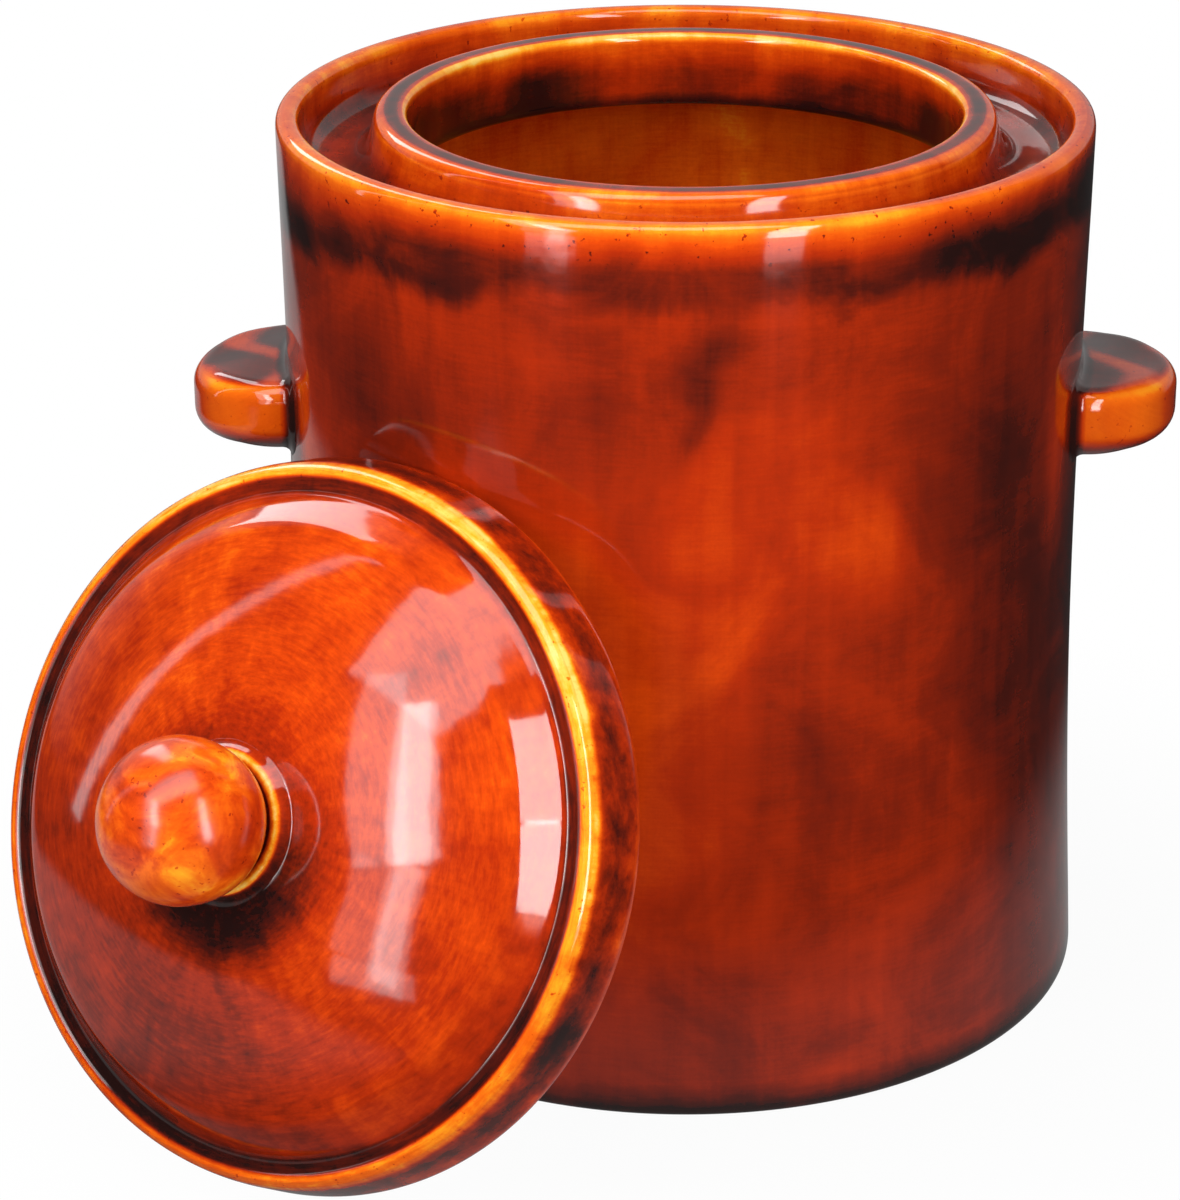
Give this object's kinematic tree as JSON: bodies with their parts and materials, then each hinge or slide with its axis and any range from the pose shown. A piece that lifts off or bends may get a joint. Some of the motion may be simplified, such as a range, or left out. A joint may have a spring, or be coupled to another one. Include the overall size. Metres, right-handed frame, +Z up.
{
  "type": "water seal pickle jar",
  "caption": "Glazed stoneware fermentation crock with a water gutter round its mouth, two side lugs, a domed lid with a ball knob leaning on its wall, and split pressing weights inside.",
  "frame": {"origin": "on the jar's axis, in the plane of its foot", "axes": "+Z up, front towards -Y, lugs towards -X and +X"},
  "size_m": [0.3747, 0.3591, 0.294],
  "materials": {
    "jar_glaze": "glossy amber-brown glaze over stoneware",
    "lid_glaze": "glossy amber-brown glaze over stoneware, brushed in rings",
    "weight_clay": "matt fired stoneware without glaze"
  },
  "bodies": {
    "jar": {"jar_body": "jar_glaze", "neck_ring": "jar_glaze", "left_lug": "jar_glaze", "right_lug": "jar_glaze"},
    "lid": {"lid_shell": "lid_glaze", "lid_knob": "lid_glaze"},
    "weight_left": {"left_weight": "weight_clay"},
    "weight_right": {"right_weight": "weight_clay"}
  },
  "joints": [
    {"name": "lid_lift", "type": "slide", "parent": "jar", "child": "lid", "axis": [-0.5121, -0.7649, 0.3907], "range_m": [0, 0.2]},
    {"name": "left_weight_lift", "type": "slide", "parent": "jar", "child": "weight_left", "axis": [0, 0, 1], "range_m": [0, 0.32]},
    {"name": "right_weight_lift", "type": "slide", "parent": "jar", "child": "weight_right", "axis": [0, 0, 1], "range_m": [0, 0.32]}
  ]
}
